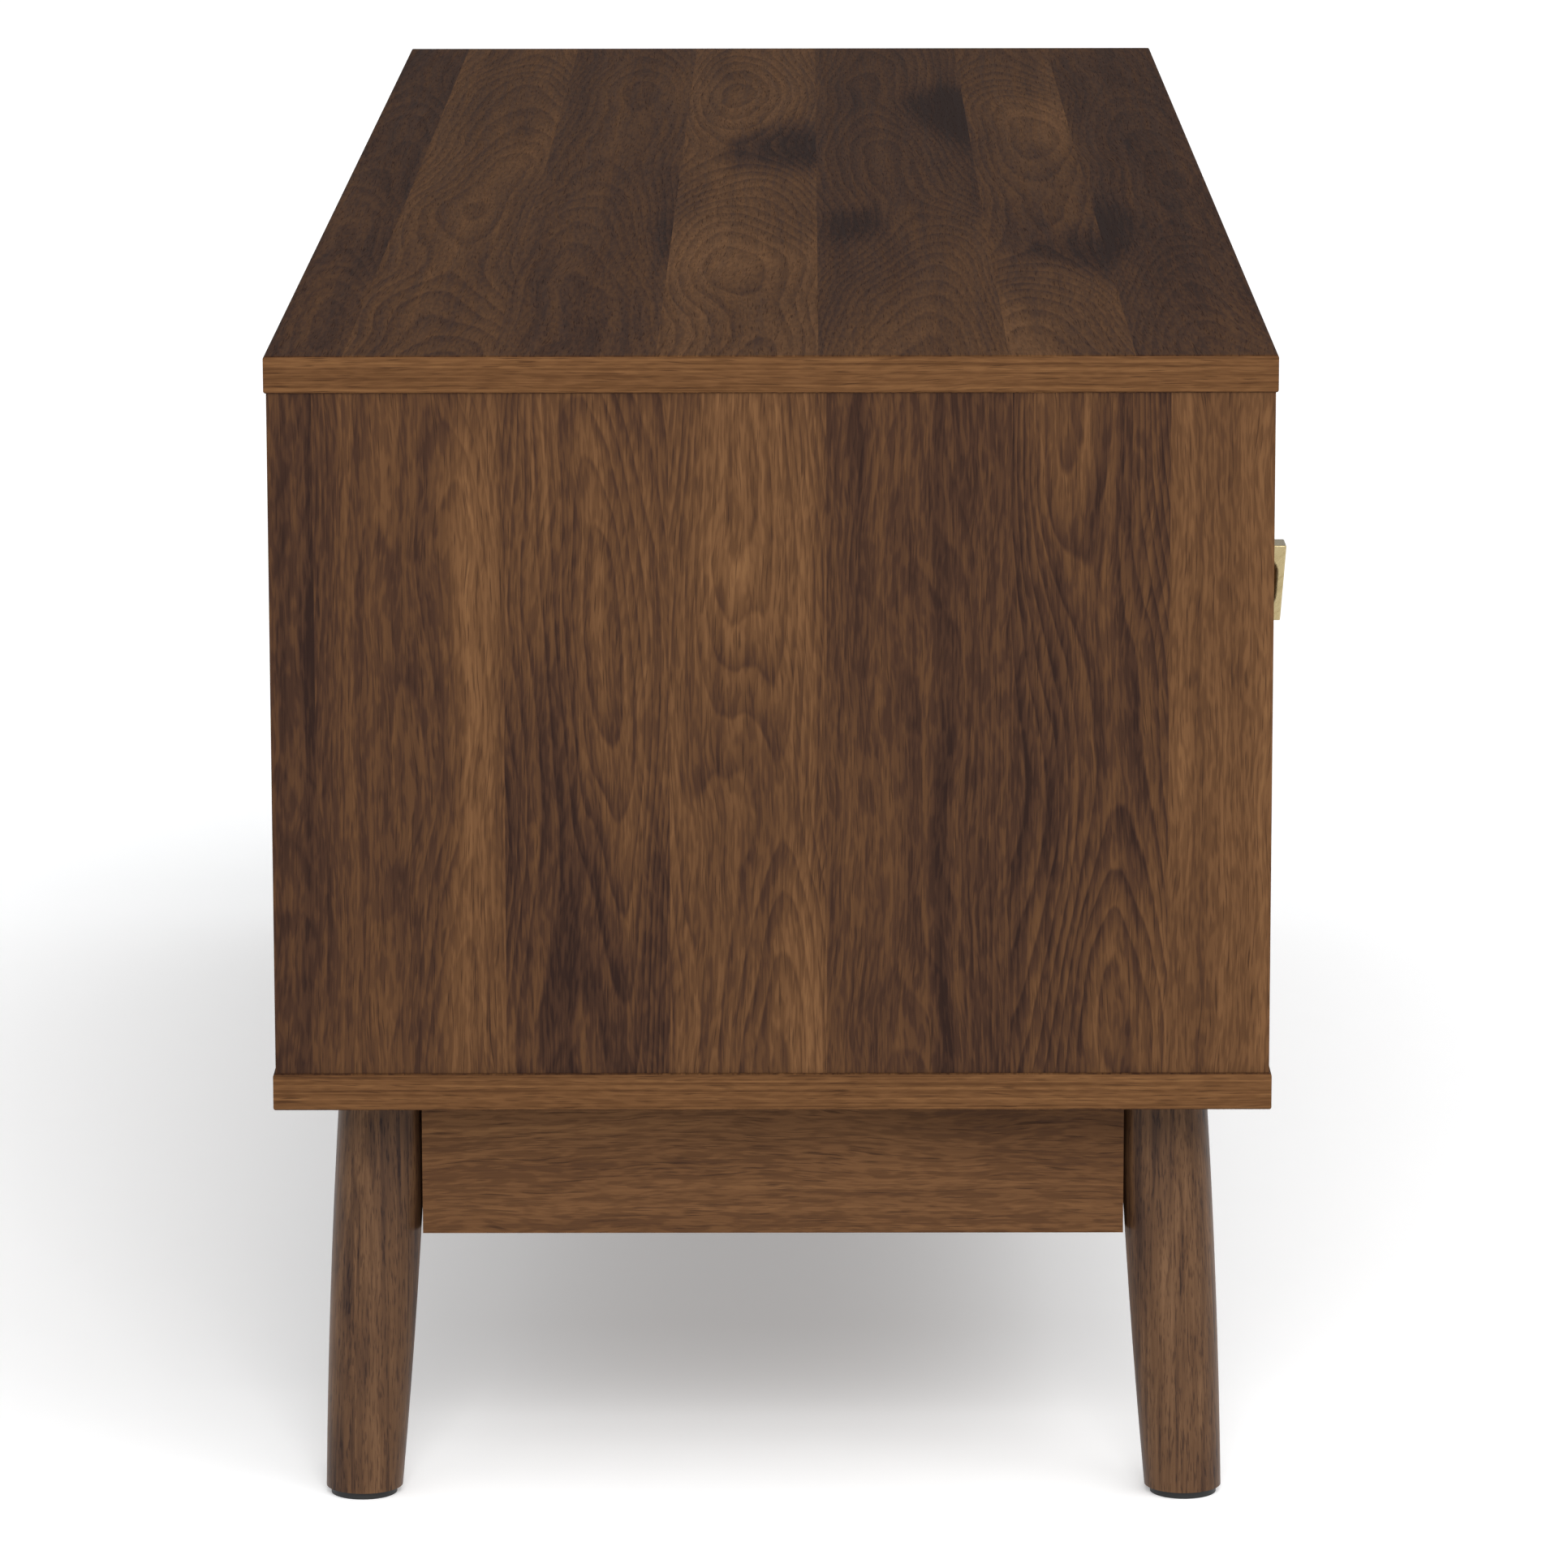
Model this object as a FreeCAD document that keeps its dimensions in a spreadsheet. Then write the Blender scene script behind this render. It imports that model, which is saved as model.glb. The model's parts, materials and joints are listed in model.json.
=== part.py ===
import FreeCAD, Part
import Sketcher

import os
import re

from FreeCAD import Placement, Rotation, Vector

# A low sideboard on four splayed round legs. Two inset doors flank a bay with two drawers.
# Frame: +X runs along the length, the front faces -Y, +Z is up. The origin is on the floor,
# under the middle of the whole sideboard, pulls included. Lengths are millimetres.

SIZES = (
    # the case
    ("length", 1200, "top board, end to end"),
    ("depth", 400, "top board, front to back"),
    ("board", 15, "thickness of every case board"),
    ("case_tall", 305, "top board's upper face to bottom board's lower face"),
    ("base_tall", 170, "floor to the bottom board"),
    ("case_back", 13, "middle of the case behind the origin: half the pulls' reach, less the inset"),
    ("face_inset", 1, "panels and fronts behind the boards' front and back edges"),
    ("end_inset", 1.5, "end panels inside the boards' ends"),
    ("edge_round", 1.2, "rounding of the top and bottom boards' banded edges"),
    ("back_thick", 5, "back panel"),
    ("back_inset", 8, "back panel inside the boards' back edges"),
    ("groove_deep", 6, "grooves that hold the back panel and the drawer bottoms"),
    # shelves
    ("shelf_gap", 1, "shelf to panel, each side"),
    ("shelf_setback", 30, "shelf behind the boards' front edges"),
    ("pin_hole", 2.5, "radius of a shelf pin's hole"),
    ("pin_hole_deep", 9, "depth of a shelf pin's hole"),
    ("pin_head", 3.5, "radius of a shelf pin's head"),
    ("pin_out", 8, "shelf pin standing out of the panel"),
    ("pin_row", 135, "pin rows in front of and behind the middle"),
    ("pin_pitch", 32, "from one height of the shelf to the next"),
    # fasteners of the case
    ("dowel_radius", 4, "wooden dowel"),
    ("dowel_half", 15, "half the length of a dowel, less its bite in the board"),
    ("dowel_bite", 9, "dowel in the top or bottom board"),
    ("dowel_row", 168, "dowels in front of and behind the middle"),
    ("cam_radius", 7.5, "cam lock"),
    ("cam_deep", 12.5, "cam lock, across the panel"),
    ("cam_drop", 26, "cam lock below the top board"),
    ("stud_radius", 3, "cam stud"),
    ("stud_bite", 10, "cam stud in the top board"),
    ("joint_row", 110, "cam locks and case screws in front of and behind the middle"),
    ("case_screw", 3.5, "radius of a case screw"),
    ("case_screw_head", 5, "radius of the case screws' heads"),
    ("case_head_thick", 4, "case screws' heads"),
    ("back_screw_long", 25, "back panel's screws"),
    ("back_head_thick", 1.2, "back panel's screw heads"),
    ("shelf_back_gap", 2, "shelf to back panel"),
    ("case_screw_long", 50, "case screw"),
    ("back_screw", 1.75, "radius of a back screw"),
    # doors
    ("door_gap", 2, "gap round a front"),
    ("hinge_gap", 2.5, "gap between a door and its end panel"),
    ("pivot_in", 15, "pivot axis from the door's hinge edge"),
    ("pivot_radius", 3, "pivot pin"),
    ("pivot_play", 0.05, "radial clearance of the pin in its bush"),
    ("pivot_in_door", 14, "pin in the door's edge"),
    ("bush_radius", 5, "bush, outside"),
    ("bush_deep", 9, "bush in its board"),
    ("bush_flange", 7, "radius of the bush's flange"),
    ("flange_thick", 1, "bush's flange"),
    ("collar_radius", 4.5, "collar that carries the door on its lower bush"),
    ("collar_play", 0.2, "collar above the flange"),
    ("catch_long", 42, "magnetic catch along the front"),
    ("catch_deep", 14, "magnetic catch, front to back"),
    ("catch_tall", 11, "magnetic catch below the top board"),
    ("catch_in", 40, "middle of the catch from the door's free edge"),
    ("strike_thick", 1, "steel plate that the magnet holds"),
    ("strike_play", 0.2, "plate to magnet with the door shut"),
    ("strike_inset", 1, "plate's edges inside the catch's outline"),
    ("bore_short", 1, "blind end of a bush"),
    ("pivot_end_play", 2, "pin's end to the bottom of its bush"),
    # pulls
    ("pull_wide", 18, "pull along the front"),
    ("pull_tall", 33.5, "pull, upright"),
    ("pull_out_top", 27, "pull's reach at its upper end"),
    ("pull_out_foot", 24.4, "pull's reach at its lower end"),
    ("pull_bar", 5.2, "thickness of the pull's outer bar"),
    ("pull_arm", 7, "thickness of the pull's two arms"),
    ("pull_inner_round", 5, "rounding of the corners inside the pull"),
    ("pull_rim_round", 2.8, "rounding along both rims of the pull's opening"),
    ("pull_edge_round", 0.6, "rounding of the pull's edges"),
    ("pull_in", 21.5, "middle of a door's pull from the door's free edge"),
    ("pull_screw", 2, "radius of a pull's screw"),
    ("pull_screw_bite", 12, "screw in the pull"),
    ("screw_head", 4, "radius of a pull screw's head"),
    ("screw_head_thick", 2, "pull screw's head"),
    # drawers
    ("between_drawers", 3, "gap between the two drawer fronts"),
    ("drawer_wall", 12, "drawer sides and back"),
    ("drawer_wall_tall", 92, "drawer sides"),
    ("drawer_lift", 16, "drawer sides above the front's lower edge"),
    ("drawer_long", 330, "drawer sides, front to back"),
    ("drawer_floor", 5, "drawer bottom's thickness"),
    ("drawer_floor_lift", 9, "drawer bottom above the sides' lower edges"),
    ("slide_space", 13, "drawer side to divider"),
    ("slide_metal", 1.2, "steel of the slides"),
    ("slide_half", 22.5, "half the height of the slide's cabinet member"),
    ("slide_step", 4.2, "half height lost from one slide member to the next"),
    ("slide_lift", 46, "middle of the slide above the drawer sides' lower edges"),
    ("slide_cabinet_deep", 10.5, "cabinet member from the divider"),
    ("slide_middle_near", 2.2, "middle member's web from the divider"),
    ("slide_middle_far", 12.2, "middle member's open side from the divider"),
    ("slide_drawer_near", 5, "drawer member's open side from the divider"),
    ("slide_start", 3, "slides behind the drawer front"),
    # base
    ("leg_top", 18, "leg's radius at its top"),
    ("leg_middle", 17.8, "leg's radius half way"),
    ("leg_foot", 15.5, "leg's radius at the floor"),
    ("leg_top_in_x", 51, "leg's axis at its top, from the end"),
    ("leg_foot_in_x", 42, "leg's axis at the floor, from the end"),
    ("leg_top_in_y", 41.8, "leg's axis at its top, from the front or back"),
    ("leg_foot_in_y", 32.2, "leg's axis at the floor, from the front or back"),
    ("leg_spare", 20, "leg blank beyond its trimmed ends"),
    ("apron", 15, "thickness of the apron boards"),
    ("apron_tall", 60, "apron boards"),
    ("apron_in_x", 37, "end aprons' outer faces from the boards' ends"),
    ("apron_in_y", 27.8, "long aprons' outer faces from the boards' edges"),
    ("apron_end_y", 57.6, "end aprons stop this far from the front and back"),
    ("apron_end_x", 66.5, "long aprons stop this far from the ends"),
    ("block_near", 27, "corner block's outer face, from the aprons' inner corner"),
    ("block_far", 53, "corner block's inner face, from the aprons' inner corner"),
    ("block_tall", 45, "corner block"),
    ("block_drop", 6, "corner block below the bottom board"),
    ("bolt_radius", 4, "hanger bolt"),
    ("bolt_long", 62, "hanger bolt"),
    ("bolt_start", 8.4, "hanger bolt's start, beyond the aprons' inner corner"),
    ("nut_radius", 7.5, "flange nut, corner to middle"),
    ("nut_tall", 6.5, "flange nut above its flange"),
    ("nut_flange", 9, "radius of the nut's flange"),
    ("nut_flange_thick", 1.5, "the nut's flange"),
    ("base_screw", 2.25, "radius of a base screw"),
    ("base_screw_long", 55, "base screw"),
    ("glide_radius", 13.5, "foot glide"),
    ("glide_pin_long", 15, "glide's pin in the leg"),
    ("base_head_thick", 3, "head of a corner block's screw"),
    ("base_screw_near", 7.4, "corner block's screw from one apron's corner"),
    ("base_screw_far", 32.9, "corner block's screw from the other apron's corner"),
    ("trim_half", 60, "half the width of the slab that trims the legs' ends"),
    ("glide_thick", 3, "foot glide under the leg"),
    ("glide_pin", 2, "radius of the glide's nail"),
)

doc = FreeCAD.newDocument("sideboard")
sheet = doc.addObject("Spreadsheet::Sheet", "Sizes")
for row, (alias, value, meaning) in enumerate(SIZES, start=1):
    sheet.set(f"A{row}", alias)
    sheet.set(f"B{row}", str(value))
    sheet.set(f"C{row}", meaning)
    sheet.setAlias(f"B{row}", alias)
doc.recompute()

# ---- places that several pieces share, as formulas of the sheet's cells ----
# Places along Y are counted from the middle of the case; place() adds case_back to them.

UNDERSIDE = "(base_tall)"
FLOOR = "(base_tall + board)"
CEILING = "(base_tall + case_tall - board)"
INNER_TALL = "(case_tall - 2*board)"
FRONT = "(-depth/2 + face_inset)"
REAR = "(depth/2 - back_inset)"
FRONT_BACK = "(-depth/2 + face_inset + board)"
PANEL_X = "(length/2 - end_inset - board/2)"
BAY = "((length - 2*end_inset - 4*board)/3)"
DIVIDER_X = "((length - 2*end_inset - 4*board)/6 + board/2)"
DOOR_WIDE = f"({BAY} - hinge_gap - door_gap)"
DOOR_TALL = f"({INNER_TALL} - 2*door_gap)"
DOOR_FREE_X = "((length - 2*end_inset - 4*board)/6 + board + door_gap)"
PIVOT_X = "(length/2 - end_inset - board - hinge_gap - pivot_in)"
PIVOT_Y = "(-depth/2 + face_inset + board/2)"
SHELF_Z = "(base_tall + case_tall/2 - board/2)"
DRAWER_TALL = f"(({INNER_TALL} - 2*door_gap - between_drawers)/2)"
DRAWER_HALF = f"({BAY}/2 - slide_space)"
CORNER_X = "(length/2 - apron_in_x - apron)"
CORNER_Y = "(depth/2 - apron_in_y - apron)"

SIDES = {"left": -1, "right": 1}
ENDS = {"front": -1, "back": 1}
TURNS = {
    "up": Rotation(),
    "down": Rotation(Vector(1, 0, 0), 180),
    "right": Rotation(Vector(0, 1, 0), 90),
    "left": Rotation(Vector(0, 1, 0), -90),
    "front": Rotation(Vector(1, 0, 0), 90),
}
nodes = []


def size(alias):
    return float(sheet.get(alias))


def bind(item, prop, text):
    """Bind a property to a formula in which every word is a cell of the sheet."""
    item.setExpression(prop, re.sub(r"[a-z][a-z_]*", r"Sizes.\g<0>", str(text)))


def place(item, where, turn=None):
    """Put a whole piece in the sideboard's frame, from a place counted from the case's middle."""
    if turn is not None:
        item.Placement = Placement(Vector(), turn)
    x, y, z = where
    bind(item, "Placement.Base.x", x)
    bind(item, "Placement.Base.y", f"{y} + case_back")
    bind(item, "Placement.Base.z", z)
    return item


def node(item, label):
    """Make an object one of the sideboard's sub-parts, under its own name."""
    item.Label = label
    nodes.append(item)
    return item


def box(low, spans):
    solid = doc.addObject("Part::Box", "Block")
    for prop, text in zip(("Length", "Width", "Height"), spans):
        bind(solid, prop, text)
    return place(solid, low)


def board_at(middle_x, half_x, low_y, deep, low_z, tall):
    """A flat board from its middle and half width along X."""
    return box((f"{middle_x} - {half_x}", low_y, low_z), (f"2*{half_x}", deep, tall))


def disc(radius, long, start):
    """One step of a round solid, on its own Z axis."""
    step = doc.addObject("Part::Cylinder", "Step")
    bind(step, "Radius", radius)
    bind(step, "Height", long)
    bind(step, "Placement.Base.z", start)
    return step


def pin(steps, where, toward):
    """Round solid of stacked steps, each a radius and a length, that starts at a point."""
    discs = []
    start = "0"
    for radius, long in steps:
        discs.append(disc(radius, long, start))
        start = f"{start} + {long}"
    turn = TURNS[toward] if isinstance(toward, str) else toward
    if len(discs) == 1:
        return place(discs[0], where, turn)
    joined = doc.addObject("Part::MultiFuse", "Stepped")
    joined.Shapes = discs
    return place(joined, where, turn)


def group(items):
    held = doc.addObject("Part::Compound", "Group")
    held.Links = items
    return held


def cut(base, tools):
    """Take every tool away from the base: a hole has the shape of the piece that fills it."""
    result = doc.addObject("Part::Cut", "Drilled")
    result.Base = base
    result.Tool = tools[0] if len(tools) == 1 else group(tools)
    return result


def plane(body, role):
    return next(item for item in body.Origin.OriginFeatures if item.Role == role)


def outline(body, role, corners):
    """Closed sketch through corners given as pairs of formulas, on an origin plane."""
    sketch = body.newObject("Sketcher::SketchObject", "Outline")
    sketch.AttachmentSupport = [(plane(body, role), "")]
    sketch.MapMode = "FlatFace"
    count = len(corners)
    rough = [Rotation(Vector(0, 0, 1), 360*i/count).multVec(Vector(10, 0, 0)) for i in range(count)]
    for i in range(count):
        sketch.addGeometry(Part.LineSegment(rough[i], rough[(i + 1) % count]), False)
    for i in range(count):
        join = Sketcher.Constraint("Coincident", i, 2, (i + 1) % count, 1)
        sketch.addConstraint(join)
    for i, (across, along) in enumerate(corners):
        for kind, text, value in (("DistanceX", across, rough[i].x), ("DistanceY", along, rough[i].y)):
            index = sketch.addConstraint(Sketcher.Constraint(kind, -1, 1, i, 1, value))
            bind(sketch, f"Constraints[{index}]", text)
    return sketch


def pad(body, sketch, long, both_ways=False):
    feature = body.newObject("PartDesign::Pad", "Pad")
    feature.Profile = sketch
    feature.Midplane = both_ways
    bind(feature, "Length", long)
    body.Tip = feature
    return feature


def round_edges(body, base, radius, chosen):
    """Fillet the edges of the body's last feature that a test picks."""
    doc.recompute()
    names = [f"Edge{i}" for i, edge in enumerate(base.Shape.Edges, start=1) if chosen(edge)]
    feature = body.newObject("PartDesign::Fillet", "Round")
    feature.Base = (base, names)
    bind(feature, "Radius", radius)
    body.Tip = feature
    return feature


# ---- fasteners of the case ----

UPRIGHTS = {
    "left_end_panel": (f"-{PANEL_X}", 1),
    "left_divider": (f"-{DIVIDER_X}", -1),
    "right_divider": (DIVIDER_X, 1),
    "right_end_panel": (PANEL_X, -1),
}


def case_fasteners():
    """Dowels, cam locks with their studs, and case screws at the uprights' two ends."""
    dowels, locks, studs, screws = [], [], [], []
    for middle, inward in UPRIGHTS.values():
        for way in (-1, 1):
            dowel_y = f"{way}*dowel_row"
            joint_y = f"{way}*joint_row"
            long = (("dowel_radius", "2*dowel_half"),)
            dowels.append(pin(long, (middle, dowel_y, f"{FLOOR} - dowel_bite"), "up"))
            dowels.append(pin(long, (middle, dowel_y, f"{CEILING} + dowel_bite"), "down"))
            stud = pin((("stud_radius", "stud_bite + cam_drop"),),
                       (middle, joint_y, f"{CEILING} + stud_bite"), "down")
            studs.append(stud)
            mouth = (f"{middle} + {inward}*board/2", joint_y, f"{CEILING} - cam_drop")
            lock = pin((("cam_radius", "cam_deep"),), mouth, "left" if inward > 0 else "right")
            locks.append(cut(lock, [stud]))
            steps = (("case_screw_head", "case_head_thick"),
                     ("case_screw", "case_screw_long - case_head_thick"))
            screws.append(pin(steps, (middle, joint_y, UNDERSIDE), "up"))
    return (
        node(group(dowels), "case_dowels"),
        node(group(locks), "cam_locks"),
        node(group(studs), "cam_studs"),
        node(group(screws), "case_screws"),
    )


dowels, cam_locks, cam_studs, case_screws = case_fasteners()

# ---- the back panel, in grooves all round, screwed to the dividers ----

back_panel = board_at("0", f"({PANEL_X} - board/2 + groove_deep)", f"{REAR} - back_thick", "back_thick",
                      f"{FLOOR} - groove_deep", f"{INNER_TALL} + 2*groove_deep")
BACK_SCREW_SHARES = (0.15, 0.5, 0.85)
back_screws = []
for middle in (f"-{DIVIDER_X}", DIVIDER_X):
    for share in BACK_SCREW_SHARES:
        where = (middle, f"{REAR} + back_head_thick", f"{FLOOR} + {share}*{INNER_TALL}")
        steps = (("2*back_screw", "back_head_thick"), ("back_screw", "back_screw_long"))
        back_screws.append(pin(steps, where, "front"))
back_screws = node(group(back_screws), "back_screws")

# ---- shelves on pins, with two spare rows of pin holes ----


def shelf_pin_places(side):
    """The two panel faces of an outer bay, each as a face's x and the way into the panel."""
    outer = f"{side}*({PANEL_X} - board/2)"
    inner = f"{side}*({DIVIDER_X} + board/2)"
    return ((outer, side), (inner, -side))


shelf_pins = []
pin_holes = []
for side in SIDES.values():
    for face, way in shelf_pin_places(side):
        for row in (-1, 1):
            row_y = f"{row}*pin_row"
            steps = (("pin_head", "pin_out"), ("pin_hole", "pin_hole_deep"))
            start = (f"{face} - {way}*pin_out", row_y, f"{SHELF_Z} - pin_head")
            shelf_pins.append(pin(steps, start, "right" if way > 0 else "left"))
            for level in (-1, 1):
                spare = (face, row_y, f"{SHELF_Z} - pin_head + {level}*pin_pitch")
                hole = (("pin_hole", "pin_hole_deep"),)
                pin_holes.append(pin(hole, spare, "right" if way > 0 else "left"))
shelf_pins = node(group(shelf_pins), "shelf_pins")
pin_holes = group(pin_holes)

for name, side in SIDES.items():
    shelf = board_at(f"{side}*({DIVIDER_X} + board/2 + {BAY}/2)", f"({BAY}/2 - shelf_gap)",
                     "-depth/2 + shelf_setback",
                     "depth - shelf_setback - back_inset - back_thick - shelf_back_gap",
                     SHELF_Z, "board")
    node(shelf, f"{name}_shelf")

# ---- doors, each on two pins that turn in bushes in the bottom and top boards ----

bushes = []
bores = []
catches = []


def door(name, side):
    """A door with its pivot pins and the steel plate that its magnetic catch holds."""
    low = f"{FLOOR} + door_gap"
    high = f"{CEILING} - door_gap"
    leaf = board_at(f"{side}*({DOOR_FREE_X} + {DOOR_WIDE}/2)", f"({DOOR_WIDE}/2)", FRONT, "board",
                    low, DOOR_TALL)
    axis = (f"{side}*{PIVOT_X}", PIVOT_Y)
    reach = "(door_gap + bush_deep - pivot_end_play)"
    lower = pin((("pivot_radius", f"{reach} - (door_gap - flange_thick - collar_play)"),
                 ("collar_radius", "door_gap - flange_thick - collar_play"),
                 ("pivot_radius", "pivot_in_door")), (*axis, f"{low} - {reach}"), "up")
    upper = pin((("pivot_radius", f"{reach} + pivot_in_door"),), (*axis, f"{high} + {reach}"), "down")
    pins = node(group([lower, upper]), f"{name}_pivot_pins")
    for start, toward in ((FLOOR + " - bush_deep", "up"), (CEILING + " + bush_deep", "down")):
        shell = pin((("bush_radius", "bush_deep"), ("bush_flange", "flange_thick")), (*axis, start), toward)
        bore_start = f"{start} {'+' if toward == 'up' else '-'} bore_short"
        bore = pin((("pivot_radius + pivot_play", "bush_deep + flange_thick - bore_short"),),
                   (*axis, bore_start), toward)
        bushes.append(cut(shell, [bore]))
        bores.append(bore)
    plate_y = FRONT_BACK
    catch_y = f"{plate_y} + strike_thick + strike_play"
    catch_x = f"{side}*({DOOR_FREE_X} + catch_in)"
    plate = board_at(catch_x, "(catch_long/2 - 2*strike_inset)", plate_y, "strike_thick",
                     f"{high} - catch_tall + strike_inset", "catch_tall - 2*strike_inset")
    node(plate, f"{name}_strike_plate")
    catches.append(board_at(catch_x, "(catch_long/2)", catch_y, "catch_deep",
                            f"{CEILING} - catch_tall", "catch_tall"))
    return leaf, pins


def pull(x, z, leaf, label, screws_label):
    """A bow pull with its two screws, and the front it is screwed to, drilled for them."""
    body = doc.addObject("PartDesign::Body", "Pull")
    slant = "(pull_out_top - pull_out_foot)/pull_tall"
    inner_foot = f"pull_out_foot - pull_bar + {slant}*pull_arm"
    inner_top = f"pull_out_foot - pull_bar + {slant}*(pull_tall - pull_arm)"
    corners = (
        ("0", "0"),
        ("-pull_out_foot", "0"),
        ("-pull_out_top", "pull_tall"),
        ("0", "pull_tall"),
        ("0", "pull_tall - pull_arm"),
        (f"-({inner_top})", "pull_tall - pull_arm"),
        (f"-({inner_foot})", "pull_arm"),
        ("0", "pull_arm"),
    )
    shape = pad(body, outline(body, "YZ_Plane", corners), "pull_wide", both_ways=True)
    arm, tall, wide = size("pull_arm"), size("pull_tall"), size("pull_wide")

    def inside_corner(edge):
        middle = edge.BoundBox.Center
        deep = middle.y < -size("pull_out_foot")/2
        inner = min(abs(middle.z - arm), abs(middle.z - tall + arm)) < 0.1
        return deep and inner and edge.BoundBox.XLength > wide/2

    def opening_rim(edge):
        limits = edge.BoundBox
        beside = limits.XLength < 0.1 and abs(limits.Center.x) > wide/2 - 0.1
        return beside and limits.ZMin > arm - 0.1 and limits.ZMax < tall - arm + 0.1

    def outer_edge(edge):
        limits = edge.BoundBox
        at_end = limits.ZMax < 0.1 or limits.ZMin > tall - 0.1
        return limits.YMin < -0.1 and (at_end or limits.ZLength > tall - 1)

    shape = round_edges(body, shape, "pull_inner_round", inside_corner)
    shape = round_edges(body, shape, "pull_rim_round", opening_rim)
    round_edges(body, shape, "pull_edge_round", outer_edge)
    place(body, (x, FRONT, f"{z} - pull_tall/2"))
    screws = []
    for end in (-1, 1):
        steps = (("screw_head", "screw_head_thick"), ("pull_screw", "board + pull_screw_bite"))
        where = (x, f"{FRONT_BACK} + screw_head_thick", f"{z} + {end}*(pull_tall/2 - pull_arm/2)")
        screws.append(pin(steps, where, "front"))
    screws = node(group(screws), screws_label)
    node(cut(body, [screws]), label)
    return cut(leaf, [screws])


for name, side in SIDES.items():
    leaf, pins = door(name, side)
    leaf = cut(leaf, [pins])
    leaf = pull(f"{side}*({DOOR_FREE_X} + pull_in)", "(base_tall + case_tall/2)", leaf,
                f"{name}_door_pull", f"{name}_door_pull_screws")
    node(leaf, f"{name}_door")
bushes = node(group(bushes), "pivot_bushes")
bores = group(bores)
node(group(catches), "magnetic_catches")

# ---- drawers on three-part steel slides ----


def slide_member(side, wide_from, wide_to, web_at, half, label_z):
    """A C channel: a web and two flanges, upright against a drawer's side."""
    start = f"{side}*({BAY}/2 - {wide_from})"
    end = f"{side}*({BAY}/2 - {wide_to})"
    low_x = end if side > 0 else start
    whole = box((low_x, f"{FRONT_BACK} + slide_start", f"{label_z} - {half}"),
                (f"{wide_to} - {wide_from}", "drawer_long - slide_start", f"2*{half}"))
    hollow_from = f"({wide_from} + slide_metal)" if web_at == "outer" else f"({wide_from} - 1)"
    hollow_to = f"({wide_to} + 1)" if web_at == "outer" else f"({wide_to} - slide_metal)"
    hollow_low = f"{side}*({BAY}/2 - {hollow_to if side > 0 else hollow_from})"
    hollow = box((hollow_low, FRONT_BACK, f"{label_z} - {half} + slide_metal"),
                 (f"{hollow_to} - {hollow_from}", "drawer_long + slide_start", f"2*({half} - slide_metal)"))
    return cut(whole, [hollow])


cabinet_members = []


def drawer(name, low):
    """A drawer: front, two sides, back, bottom and the slide members on it."""
    wall_low = f"({low} + drawer_lift)"
    floor_low = f"({wall_low} + drawer_floor_lift)"
    bottom = board_at("0", f"({DRAWER_HALF} - drawer_wall + groove_deep)", f"{FRONT_BACK} - groove_deep",
                      "drawer_long + groove_deep", floor_low, "drawer_floor")
    node(bottom, f"{name}_drawer_bottom")
    front = board_at("0", f"({BAY}/2 - door_gap)", FRONT, "board", low, DRAWER_TALL)
    front = pull("0", f"({low} + {DRAWER_TALL}/2)", cut(front, [bottom]),
                 f"{name}_drawer_pull", f"{name}_drawer_pull_screws")
    node(front, f"{name}_drawer_front")
    for side_name, side in SIDES.items():
        wall = board_at(f"{side}*({DRAWER_HALF} - drawer_wall/2)", "(drawer_wall/2)", FRONT_BACK,
                        "drawer_long", wall_low, "drawer_wall_tall")
        node(cut(wall, [bottom]), f"{name}_drawer_{side_name}_side")
    back = board_at("0", f"({DRAWER_HALF} - drawer_wall)", f"{FRONT_BACK} + drawer_long - drawer_wall",
                    "drawer_wall", f"{floor_low} + drawer_floor",
                    "drawer_wall_tall - drawer_floor_lift - drawer_floor")
    node(back, f"{name}_drawer_back")
    middle_z = f"({wall_low} + slide_lift)"
    middles, inners = [], []
    for side in SIDES.values():
        cabinet_members.append(slide_member(side, "0", "slide_cabinet_deep", "outer", "slide_half", middle_z))
        middles.append(slide_member(side, "slide_middle_near", "slide_middle_far", "outer",
                                    "(slide_half - slide_step)", middle_z))
        inners.append(slide_member(side, "slide_drawer_near", "slide_space", "inner",
                                   "(slide_half - 2*slide_step)", middle_z))
    node(group(middles), f"{name}_slide_middles")
    node(group(inners), f"{name}_slide_drawer_members")


drawer("lower", f"({FLOOR} + door_gap)")
drawer("upper", f"({FLOOR} + door_gap + {DRAWER_TALL} + between_drawers)")
node(group(cabinet_members), "slide_cabinet_members")

# ---- base: apron frame, corner blocks, bolts ----

aprons = []
for name, end in ENDS.items():
    middle = f"{end}*(depth/2 - apron_in_y - apron/2)"
    long = box(("-length/2 + apron_end_x", f"{middle} - apron/2", f"{UNDERSIDE} - apron_tall"),
               ("length - 2*apron_end_x", "apron", "apron_tall"))
    aprons.append(node(long, f"{name}_apron"))
for name, side in SIDES.items():
    middle = f"{side}*(length/2 - apron_in_x - apron/2)"
    short = box((f"{middle} - apron/2", "-depth/2 + apron_end_y", f"{UNDERSIDE} - apron_tall"),
                ("apron", "depth - 2*apron_end_y", "apron_tall"))
    aprons.append(node(short, f"{name}_apron"))

# Each corner is the front left one turned about Z, with its own signs of x and y.
CORNERS = (
    ("front_left", -1, -1, 0),
    ("front_right", 1, -1, 90),
    ("back_right", 1, 1, 180),
    ("back_left", -1, 1, 270),
)


def corner_block(x, y, turn):
    body = doc.addObject("PartDesign::Body", "Block")
    corners = (("block_near", "0"), ("block_far", "0"), ("0", "block_far"), ("0", "block_near"))
    pad(body, outline(body, "XY_Plane", corners), "block_tall")
    return place(body, (x, y, f"{UNDERSIDE} - block_drop - block_tall"), turn)


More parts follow.
